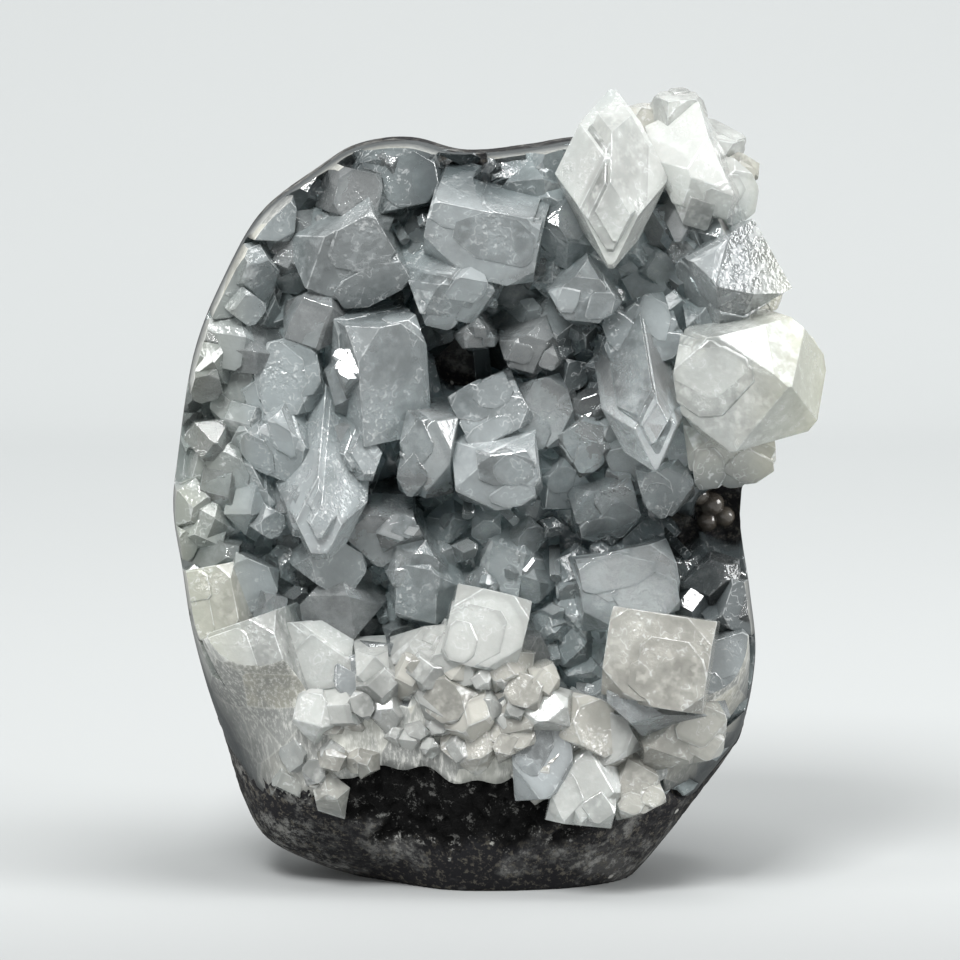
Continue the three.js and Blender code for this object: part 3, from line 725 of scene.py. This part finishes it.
def crystal_rim(n):
    """1 near a crystal's edges: the sum of exp(-k distance) over its prism, point and end faces is high
    where the second nearest face is near."""
    share = n.axes(n.attribute("share", "Vector"))
    across = n.math("ABSOLUTE", share["X"])
    upward = n.math("ABSOLUTE", share["Y"])
    along = share["Z"]
    point = n.minus(n.attribute("cap"), n.plus(across, upward))
    total = 0.0
    for gap in (n.minus(1.0, across), n.minus(1.0, upward), n.minus(point, n.times(along, 2 / PYRAMID_RATIO)),
                n.times(along, -1.0)):
        total = n.plus(total, n.math("EXPONENT", n.times(n.math("MAXIMUM", gap, 0.0), -RIM_SHARPNESS)))
    return n.ramp(total, 1.15, 1.75)


def crystal_body(n, place, wisps, puffs, etch, colour, shade):
    """The colour of a crystal: wisps, puffs, a tone of its own and a darker rim, warm at the specimen's
    sides, with painted shade on recessed crystals and in the hollows, where it stands also for the basalt
    seen through, pale veils that are partly painted inner reflections, painted highlights on the worn edges
    and painted glints."""
    x = n.axes(place)["X"]
    contour = n.math("ABSOLUTE", n.minus(wisps, 0.53))
    # Pale veils: partly fracture veils, partly painted inner reflections of cleavage planes
    veil_and_reflection = n.times(n.ramp(contour, 0.0, 0.012, 1.0, 0.0), n.ramp(puffs, 0.45, 0.6))
    # Painted highlight on the narrow faces of the worn edges
    edge = n.times(n.attribute("edge"), n.ramp(puffs, 0.4, 0.6))
    # Painted glints: white specks where the fine etching and the wisps are high
    painted_glints = n.times(n.ramp(etch, 0.59, 0.64), n.ramp(wisps, 0.52, 0.6))
    return n.layers(scaled(colour, shade), [
        (wisps, 0.38, 0.62, 0, 1, colour),
        (puffs, 0.5, 0.72, 0, 0.7, scaled(colour, 1.3)),
        (n.attribute("tone"), 0.1, 0.9, 0, 0.85, scaled(colour, 1.35)),
        (crystal_rim(n), 0, 1, 0, 0.5, scaled(colour, 0.7)),
        (x, -0.066, -0.05, 0.6, 0, MARGIN_COLOUR),
        (x, 0.046, 0.062, 0, 0.6, MARGIN_COLOUR),
        # Painted shade: recessed crystals darker
        (n.attribute("deep_shade"), 0, 1, 0, 0.8, DEEP_SHADE_COLOUR),
        # Painted shade in and around the hollows, standing partly for basalt seen through
        (n.attribute("gloom_shade"), 0, 1, 0, 0.8, GLOOM_SHADE_COLOUR),
        # Pale veils, partly painted inner reflections
        (veil_and_reflection, 0, 1, 0, 0.45, VEIL_AND_HIGHLIGHT_COLOUR),
        # Painted highlight on the worn edges
        (edge, 0, 1, 0, 0.4, VEIL_AND_HIGHLIGHT_COLOUR),
        # Painted glints
        (painted_glints, 0, 1, 0, 0.45, PAINTED_GLINT_COLOUR),
    ])


def crystal_material(look, colour, shade, transmission, glow, rough, density):
    """Apophyllite with fine growth lines and a light etching. shade darkens the colour outside the wisps,
    glow is milkiness under the surface, rough the roughness outside and inside the wisps, and density the
    absorption."""
    n = Nodes("apophyllite_" + look)
    place = n.place()
    grain = n.attribute("grain", "Vector")
    wisps = n.noise(place, 120, 3, 0.65)
    puffs = n.noise(grain, 420, 2, 0.6)
    etch = n.noise(place, 1000, 2, 0.6)
    local = n.axes(grain)
    squeezed = {"X": local["X"], "Y": local["Y"], "Z": n.times(local["Z"], 0.06)}
    stretched = n.add("ShaderNodeCombineXYZ", squeezed)
    lines = n.noise(stretched.outputs[0], 800, 1, 0.5)
    height = n.plus(n.times(lines, 0.7), etch)
    if density:
        volume = n.add("ShaderNodeVolumeAbsorption", {"Color": ABSORPTION_TINT, "Density": density})
        n.set(n.output.inputs["Volume"], volume.outputs["Volume"])
    return n.shaded({
        "Base Color": crystal_body(n, place, wisps, puffs, etch, colour, shade),
        "Roughness": n.ramp(wisps, 0.5, 0.7, *rough),
        "Normal": n.bump(height, n.ramp(wisps, 0.54, 0.64, 0.16, 0.9), 0.4),
        "IOR": CRYSTAL_IOR,
        "Transmission Weight": transmission,
        "Subsurface Weight": glow,
        "Subsurface Radius": GLOW_RADIUS,
        "Subsurface Scale": GLOW_DEPTH,
    })


def ground_material(colour):
    """Crystal ground flush with the sides: patches of other tones with faint seams, fine scratches that run
    mostly up and down, and dark inwards, between the crystals."""
    n = Nodes("apophyllite_ground")
    place = n.place()
    kind = n.axes(n.cells(place, 105)["Color"])
    seam = n.cells(place, 105, "DISTANCE_TO_EDGE")["Distance"]
    wisps = n.noise(place, 160, 3, 0.65)
    scratches = n.noise(n.place((1, 1, 0.045), (0.0, 0.12, 0.0)), 1500, 3, 0.7)
    body = n.layers(scaled(colour, 0.45), [
        (kind["X"], 0.2, 0.8, 0, 1, scaled(colour, 0.85)),
        (kind["Y"], 0.5, 1.0, 0, 0.5, (0.40, 0.38, 0.30)),
        (wisps, 0.4, 0.62, 0, 0.7, scaled(colour, 0.4)),
        (seam, 0.0, 0.03, 0.25, 0.0, (0.6, 0.6, 0.55)),
        (scratches, 0.48, 0.64, 0, 0.6, (0.52, 0.52, 0.49)),
        (n.axes(place)["Y"], -0.028, -0.014, 0, 0.95, (0.03, 0.034, 0.036)),
    ])
    return n.shaded({
        "Base Color": body,
        "Roughness": n.ramp(scratches, 0.3, 0.7, 0.5, 0.75),
        "Normal": n.bump(scratches, 0.25, 0.12),
        "IOR": CRYSTAL_IOR,
        "Specular IOR Level": 0.12,
    })


def root_material(colour):
    """The milky foot of the crystals, seen through them."""
    n = Nodes("apophyllite_root")
    cloud = n.noise(n.place(), 140, 3, 0.6)
    return n.shaded({
        "Base Color": n.layers(scaled(colour, 0.35), [(cloud, 0.35, 0.65, 0, 1, scaled(colour, 0.95))]),
        "Roughness": n.ramp(cloud, 0.0, 1.0, 0.6, 0.9),
    })


def basalt_material(colour):
    """Ground basalt: near black, mottled with grey flecks that are thickest at the sides, with pale fillings
    of old gas bubbles and a rough jet black patch that has bright specks along its border."""
    n = Nodes("basalt_ground")
    place = n.place()
    fine = n.noise(place, 800, 4, 0.75)
    broad = n.noise(place, 70, 4, 0.62, 0.4)
    flecks = n.noise(place, 420, 4, 0.8)
    x = n.axes(place)["X"]
    side = n.plus(n.ramp(x, -0.044, -0.028, 1.0, 0.0), n.ramp(x, 0.008, 0.024, 0.0, 0.2))
    patches = n.math("MAXIMUM", n.ramp(broad, 0.47, 0.64), n.times(side, n.ramp(broad, 0.36, 0.52)))
    pale = n.times(n.ramp(flecks, 0.47, 0.6), patches)
    bubbles = n.plus(n.cells(place, 170)["Distance"], n.times(flecks, 0.35))
    body = n.layers(scaled(colour, 0.7), [
        (broad, 0.5, 0.64, 0, 1, (0.052, 0.052, 0.052)),
        (fine, 0.53, 0.62, 0, 0.8, (0.08, 0.074, 0.062)),
        (pale, 0, 1, 0, 0.8, (0.19, 0.19, 0.18)),
        (bubbles, 0.23, 0.28, 0.7, 0.0, (0.42, 0.42, 0.39)),
    ])
    patch = n.attribute("rough_patch")
    border = n.times(patch, n.minus(1.0, patch))
    sparks = n.times(n.ramp(flecks, 0.57, 0.64), n.plus(0.15, n.times(border, 2.6)))
    black = n.mix(sparks, (0.004, 0.004, 0.004), (0.4, 0.4, 0.38))
    relief = n.times(fine, n.plus(0.4, n.times(patch, 5.0)))
    return n.shaded({
        "Base Color": n.mix(patch, body, black),
        "Roughness": n.ramp(fine, 0.3, 0.7, 0.65, 0.95),
        "Normal": n.bump(relief, 0.6, 0.4),
        "Specular IOR Level": 0.05,
    })


def bead_material():
    """Smooth brownish beads with a clouded depth."""
    n = Nodes("bead_skin")
    place = n.place()
    cloud = n.noise(place, 260, 4, 0.6)
    return n.shaded({
        "Base Color": n.mix(cloud, (0.04, 0.034, 0.028), (0.17, 0.15, 0.125)),
        "Roughness": n.ramp(cloud, 0.3, 0.7, 0.08, 0.22),
        "Normal": n.bump(n.noise(place, 700, 3), 0.15, 0.2),
        "IOR": BEAD_IOR,
        "Transmission Weight": 0.5,
    })


def floor_material(colour):
    """A pale floor with painted light: its colour is darker in front, under the lights, and lighter towards
    its back wall, which the lights reach less.
    """
    n = Nodes("floor_with_painted_light")
    place = n.place()
    grain = n.ramp(n.noise(place, 6, 3), 0.3, 0.7)
    away = n.axes(place)["Y"]
    pale = n.layers(scaled(colour, 0.8), [
        # Painted light: darker in front under the lights, lighter on the back wall which they reach less
        (away, -0.09, -0.02, 0, 1, colour),
        (away, 0.0, 0.9, 0, 1, scaled(colour, 2.0)),
        (away, 0.95, 1.4, 0, 1, scaled(colour, 1.6)),
        (grain, 0, 1, 0, 0.02, (0.4, 0.4, 0.4)),
    ])
    return n.shaded({"Base Color": pale, "Roughness": 0.75})


# Pieces

def matrix_front(x, z, s):
    """Depth of the basalt's front: the growth surface, or the ground surface where that lies deeper."""
    return np.maximum(grinding_y(x, z, s), growth_y(x, z))


def druse_foot(x, z, s):
    """Depth of the milky roots of the crystals, which lie just in front of the basalt."""
    return growth_y(x, z) - ROOT_GAP


def worn_basalt(verts):
    """The surface pushed in towards the middle by low waves and round pits, and by deeper noise in the black
    patch and on the bare growth surface. Also returns the patch's share at each vertex."""
    radial = verts - np.array([CENTRE_X, RIM_Y, CENTRE_Z])
    radial /= np.maximum(np.linalg.norm(radial, axis=1), 1e-6)[:, None]
    x, y, z = verts.T
    low_front = (y < -6) & (z < 34)
    patch_form = oval_reach(x, z, PATCH) + 0.35 * wave_noise(verts, 14, 5)
    patch = (1 - smoothstep(patch_form, 0.95, 1.2)) * low_front
    open_growth = (y < 4) & (matrix_front(x, z, 0.9) > grinding_y(x, z, 0.9))
    pits = np.clip(0.3 - cell_noise(verts, 7.0, 3), 0, 1) * 3.0
    depth = 0.12 * wave_noise(verts, 24, 9) - pits * (0.5 + 0.5 * wave_noise(verts, 60, 12))
    depth -= patch * (0.3 + 2.2 * np.abs(wave_noise(verts, 7, 21, 5)))
    depth -= open_growth * 0.5 * np.abs(wave_noise(verts, 6, 25, 3))
    verts = verts + radial * np.minimum(depth, 0.0)[:, None]
    verts[:, 2] = np.maximum(verts[:, 2], 0.0)
    return verts, patch


class SPECIMEN_OT_matrix(bpy.types.Operator):
    """Add the ground basalt block."""
    bl_idname = "specimen.matrix"
    bl_label = "Basalt block"

    def execute(self, context):
        tints = context.scene.specimen_tints
        verts, faces = outline_body(matrix_front, 0, 0, 360, ring_shares(48)[:0:-1], ring_shares(96))
        verts, patch = worn_basalt(verts)
        mesh = new_mesh("basalt_block", verts, faces)
        write(mesh, "rough_patch", patch, "POINT")
        mesh.shade_smooth()
        finish_piece("basalt_block", mesh, [basalt_material(tuple(tints.basalt))], "basalt_matrix")
        return {"FINISHED"}


def placed_crystals(small_count, tiny_count, rng):
    """All the crystals: proud ones keep their form, and sawn ones end at the ground surface."""
    proud = [Crystal(*row) for row in PROUD]
    proud += [step for crystal in proud for step in growth_steps(crystal, rng)]
    sawn = [Crystal(*row) for row in SAWN]
    sawn += [step for crystal in sawn for step in growth_steps(crystal, rng)]
    for row in LEDGE_BANDS:
        proud += band(*row, rng)
    small = ("clear", "cloudy", "cloudy", "clear")
    sawn += spread(72, (20, 152), (4.8, 8.0), (12, 18.5), 8, 0.5, 0.35, ("clear", "cloudy"), rng)
    sawn += spread(small_count, (18, 153), (2.6, 5.4), (9, 17), 9, 0.17, 0.6, small, rng)
    sawn += spread(tiny_count, (17, 153), (0.8, 2.0), (6.5, 15), 9, 0.77, 0.8, small, rng)
    return {"proud": proud, "sawn": sawn}


class SPECIMEN_OT_druse(bpy.types.Operator):
    """Add all the crystals, grown together in one body."""
    bl_idname = "specimen.druse"
    bl_label = "Crystals"

    def execute(self, context):
        sizes = context.scene.specimen_sizes
        rng = np.random.default_rng(SEED)
        placed, made = [], {}
        for group, crystals in placed_crystals(sizes.small_count, sizes.tiny_count, rng).items():
            made[group] = []
            for crystal in crystals:
                planes = crystal_planes(crystal, rng, 1)
                edge = min(sizes.edge_round, 0.05 * crystal.a * MM)
                made[group].append(crystal_mesh(crystal, planes, len(placed), edge))
                placed.append((crystal, planes[2]))

        def crust_front(x, z, s):
            points = np.stack([x, np.zeros_like(x), z], axis=1)
            lumps = 0.9 * wave_noise(points, 11, 31, 3)
            bare = oval_share(x, z, HOLLOWS, 1.5, 0.75, 1.1)
            growth = growth_y(x, z)
            thick = np.minimum(sizes.crust / MM + lumps, 0.45 * (growth - grinding_y(x, z, s)))
            return growth - np.maximum(thick, -0.5) * (1 - bare) + 2.5 * bare

        def body(number, front_y, wide, thick, back_shares, front_count):
            rings = outline_body(front_y, wide, thick, 240, back_shares, ring_shares(front_count))
            return number_faces(new_mesh("body", *rings), number)

        crust = body(CRUST_FACES, crust_front, 2.0, 0, (0.5, 0.9), 60)
        whet = body(GROUND_FACES, grinding_y, 0, 0, (0.5, 0.8, 0.95), 48)
        foot = body(ROOT_FACES, druse_foot, 9.0, 0, (0.5, 0.9), 60)
        core = body(ROOT_FACES, matrix_front, ROOT_GAP, ROOT_GAP, ring_shares(12)[:0:-1], 60)
        sawn = combine("sawn", crust, made["sawn"], "UNION")
        sawn = combine("ground", sawn, [whet], "INTERSECT")
        sawn = combine("rooted", sawn, [foot], "DIFFERENCE")
        proud = combine("proud", made["proud"][0], made["proud"][1:], "UNION")
        proud = combine("planted", proud, [core], "DIFFERENCE")
        druse = combine("druse", sawn, [proud], "UNION")
        materials = druse_materials(context.scene.specimen_tints)
        finish_piece("crystal_druse", druse, materials, "apophyllite_druse")
        paint_druse(druse, placed)
        return {"FINISHED"}


def druse_materials(tints):
    """One material for each of LOOKS, in their order."""
    crystal, cream = tuple(tints.crystal), tuple(tints.cream)
    milk = tuple((a + b) / 2 for a, b in zip(crystal, cream))
    return [
        crystal_material("clear", scaled(crystal, 0.9), 0.36, 0.82, 0.0, (0.03, 0.12), 40.0),
        crystal_material("cloudy", scaled(crystal, 0.43), 0.5, 0.6, 0.0, (0.03, 0.16), 30.0),
        crystal_material("milky", scaled(milk, 0.59), 0.55, 0.6, 0.25, (0.04, 0.2), 0.0),
        crystal_material("creamy", scaled(cream, 0.47), 0.6, 0.55, 0.25, (0.05, 0.22), 0.0),
        ground_material(scaled(milk, 0.5)),
        root_material(scaled(crystal, 0.75)),
    ]


def paint_druse(mesh, placed):
    """Material slots and a tone from each face's crystal, and each corner's place in its crystal's frame,
    which growth lines and rims follow."""
    owner = read(mesh.attributes["crystal"].data, "value", kind=np.int32)
    looks = np.array([LOOKS.index(crystal.look) for crystal, _ in placed])
    special = np.array([LOOKS.index(look) for look in ("root", "cloudy", "ground")])
    slots = np.where(owner >= 0, looks[owner], special[np.minimum(owner, -1)])
    mesh.polygons.foreach_set("material_index", slots.astype(np.int32))
    mesh.polygons.foreach_set("use_smooth", owner < 0)
    corner_owner = np.repeat(owner, read(mesh.polygons, "loop_total", kind=np.int32))
    places = read(mesh.vertices, "co", 3)
    points = places[read(mesh.loops, "vertex_index", kind=np.int32)]
    bases = np.array([basis for _, basis in placed])
    heads = np.array([crystal.head for crystal, _ in placed]) * MM
    halves = np.array([(crystal.a, crystal.b) for crystal, _ in placed])
    caps = np.array([crystal.cap for crystal, _ in placed])
    known = np.maximum(corner_owner, 0)
    local = np.einsum("nij,nj->ni", bases[known], points - heads[known])
    share = local / (np.column_stack([halves, halves.min(axis=1)]) * MM)[known]
    local += GRAIN_SHIFT * known[:, None]
    loose = corner_owner < 0
    local[loose] = points[loose]
    share[loose] = (0, 0, -1)
    write(mesh, "grain", local, "CORNER", "FLOAT_VECTOR")
    write(mesh, "share", share, "CORNER", "FLOAT_VECTOR")
    tones = np.random.default_rng(SEED + 1).uniform(0, 1, len(placed) + 3)
    write(mesh, "tone", tones[owner], "FACE")
    write(mesh, "cap", np.where(owner < 0, 1.5, caps[owner]), "FACE")
    x, y, z = (places / MM).T
    # Painted shade: crystals set back from the front are darkened, except at the crown and the right overhang
    crown = smoothstep(z, 133, 141) * smoothstep(x, 17, 25)
    overhang = np.maximum(crown, smoothstep(x, 44, 50) * (z > 60))
    # Painted shade, near black, in and around the hollows and darker places, on recessed points only; it
    # stands also for the dark basalt seen through
    gloom_shade = oval_share(x, z, HOLLOWS + GLOOMS, 4, 0.7, 1.7)
    write(mesh, "deep_shade", smoothstep(y, -32, -15) * (1 - overhang), "POINT")
    write(mesh, "gloom_shade", gloom_shade * smoothstep(y, -31, -21), "POINT")
    # Painted highlight: marks the narrow faces of the worn edges
    write(mesh, "edge", highlight_edge_faces(mesh, owner, bases, halves), "FACE")


def highlight_edge_faces(mesh, owner, bases, halves):
    """1 on the narrow faces of the worn edges, which get a painted highlight: those whose normals are near
    none of the prism's, the point's and the ends' in their crystal's frame."""
    known = np.maximum(owner, 0)
    turned = np.einsum("nij,nj->ni", bases[known], read(mesh.polygons, "normal", 3))
    halves = halves[known]
    steep = 2 / (PYRAMID_RATIO * halves.min(axis=1))
    size = np.sqrt((1 / halves ** 2).sum(axis=1) + steep ** 2)
    u, v, w = np.abs(turned).T
    point = (u / halves[:, 0] + v / halves[:, 1] + w * steep) / size
    nearest = np.max([u, v, w, point], axis=0)
    return (nearest < EDGE_COSINE) & (owner >= 0)


class SPECIMEN_OT_beads(bpy.types.Operator):
    """Add the two clusters of rounded beads in the hollows."""
    bl_idname = "specimen.beads"
    bl_label = "Beads"

    def execute(self, context):
        skin = bead_material()
        for place, beads in (("top", BEADS_TOP), ("right", BEADS_RIGHT)):
            made = [bead_mesh(*bead) for bead in beads]
            mesh = combine("beads", made[0], made[1:], "UNION")
            mesh.shade_smooth()
            finish_piece("beads_" + place, mesh, [skin], "bead_cluster_" + place)
        return {"FINISHED"}


def bead_mesh(x, z, over, radius):
    """A ball grid of latitude and longitude whose radius swells and dips by a little smooth noise."""
    rows, columns = 20, 36
    up = np.linspace(0, math.pi, rows + 1)[1:-1]
    around = np.linspace(0, 2 * math.pi, columns, endpoint=False)
    up, around = np.meshgrid(up, around, indexing="ij")
    ball = np.stack([np.sin(up) * np.cos(around), np.sin(up) * np.sin(around), np.cos(up)], axis=-1)
    ball = np.vstack([ball.reshape(-1, 3), [(0, 0, 1), (0, 0, -1)]])
    centre = np.array([x, growth_y(x, z) - over, z])
    verts = centre + ball * (radius * (1 + 0.05 * wave_noise(ball * radius + centre, 4, 7)))[:, None]
    return new_mesh("bead", verts, tube_faces(rows - 1, columns))


# Stage

CAMERA_LIFT = math.radians(6.0)
CAMERA_DISTANCE = 1100 * MM
FRAME_WIDTH = 192 * MM
SENSOR = 36.0
AIM = Vector((-5.8, -15.0, 82.3)) * MM
WORLD_COLOUR, WORLD_STRENGTH = (0.96, 0.97, 0.97, 1), 0.8

# Soft lights: name, place and size in metres, and power in watts
SOFTBOXES = [
    ("key", (-0.25, -0.7, 0.85), 0.36, 19.0),
    ("top", (0.2, -0.25, 1.1), 0.6, 11.0),
    ("side", (-1.0, -0.5, 0.2), 0.3, 4.0),
    ("fill", (1.0, -0.4, 0.4), 0.5, 12.0),
]


class SPECIMEN_OT_stage(bpy.types.Operator):
    """Add the pale floor with its back, the soft lights and the camera."""
    bl_idname = "specimen.stage"
    bl_label = "Stage"

    def execute(self, context):
        scene = context.scene
        scene.view_settings.view_transform = "Standard"
        floor = add_object("floor", floor_mesh())
        floor.data.materials.append(floor_material(tuple(scene.specimen_tints.floor)))
        for row in SOFTBOXES:
            add_softbox(*row)
        world = bpy.data.worlds.new("studio")
        world.use_nodes = True
        background = world.node_tree.nodes["Background"]
        background.inputs["Color"].default_value = WORLD_COLOUR
        background.inputs["Strength"].default_value = WORLD_STRENGTH
        scene.world = world
        lens = bpy.data.cameras.new("camera")
        lens.sensor_width = SENSOR
        lens.lens = SENSOR * CAMERA_DISTANCE / FRAME_WIDTH
        lens.clip_end = 20
        camera = add_object("camera", lens)
        ahead = Vector((0, math.cos(CAMERA_LIFT), -math.sin(CAMERA_LIFT)))
        camera.location = AIM - ahead * CAMERA_DISTANCE
        camera.rotation_euler = ahead.to_track_quat("-Z", "Y").to_euler()
        scene.camera = camera
        return {"FINISHED"}


def floor_mesh():
    """A floor that curves up into a back wall: a profile carried sideways."""
    bend = np.linspace(0, math.pi / 2, 24)
    radius, back, front, wall, half = 0.5, 0.9, -2.5, 2.2, 2.5
    y = np.concatenate([[front], back + radius * np.sin(bend), [back + radius]])
    z = np.concatenate([[0.0], radius * (1 - np.cos(bend)), [wall]])
    x = np.linspace(-half, half, 12)
    grid = np.stack(np.broadcast_arrays(x[None], y[:, None], z[:, None]), -1)
    a = np.arange(len(y) * len(x)).reshape(len(y), len(x))
    quads = np.stack([a[:-1, :-1], a[:-1, 1:], a[1:, 1:], a[1:, :-1]], -1).reshape(-1, 4)
    mesh = new_mesh("floor", grid.reshape(-1, 3) / MM, quads.tolist())
    mesh.shade_smooth()
    return mesh


def add_softbox(name, place, size, power):
    """A square area light that looks at the camera's aim."""
    light = bpy.data.lights.new(name, "AREA")
    light.shape = "SQUARE"
    light.size = size
    light.energy = power
    lamp = add_object(name, light)
    lamp.location = place
    lamp.rotation_euler = (AIM - Vector(place)).to_track_quat("-Z", "Y").to_euler()


# Add-on

STEPS = (SPECIMEN_OT_matrix, SPECIMEN_OT_druse, SPECIMEN_OT_beads, SPECIMEN_OT_stage)


class SPECIMEN_PT_panel(bpy.types.Panel):
    """Lists the pieces and their sizes."""
    bl_label = "Specimen"
    bl_idname = "SPECIMEN_PT_panel"
    bl_space_type = "VIEW_3D"
    bl_region_type = "UI"
    bl_category = "Specimen"

    def draw(self, context):
        layout = self.layout
        for group in (context.scene.specimen_sizes, context.scene.specimen_tints):
            for name in group.__annotations__:
                layout.prop(group, name)
        for step in STEPS:
            layout.operator(step.bl_idname)


CLASSES = (SpecimenSizes, SpecimenTints) + STEPS + (SPECIMEN_PT_panel,)


def register():
    for cls in CLASSES:
        bpy.utils.register_class(cls)
    bpy.types.Scene.specimen_sizes = bpy.props.PointerProperty(type=SpecimenSizes)
    bpy.types.Scene.specimen_tints = bpy.props.PointerProperty(type=SpecimenTints)


def unregister():
    del bpy.types.Scene.specimen_tints
    del bpy.types.Scene.specimen_sizes
    for cls in reversed(CLASSES):
        bpy.utils.unregister_class(cls)


def main():
    register()
    bpy.ops.specimen.stage()
    bpy.ops.specimen.matrix()
    bpy.ops.specimen.druse()
    bpy.ops.specimen.beads()


if __name__ == "__main__":
    main()
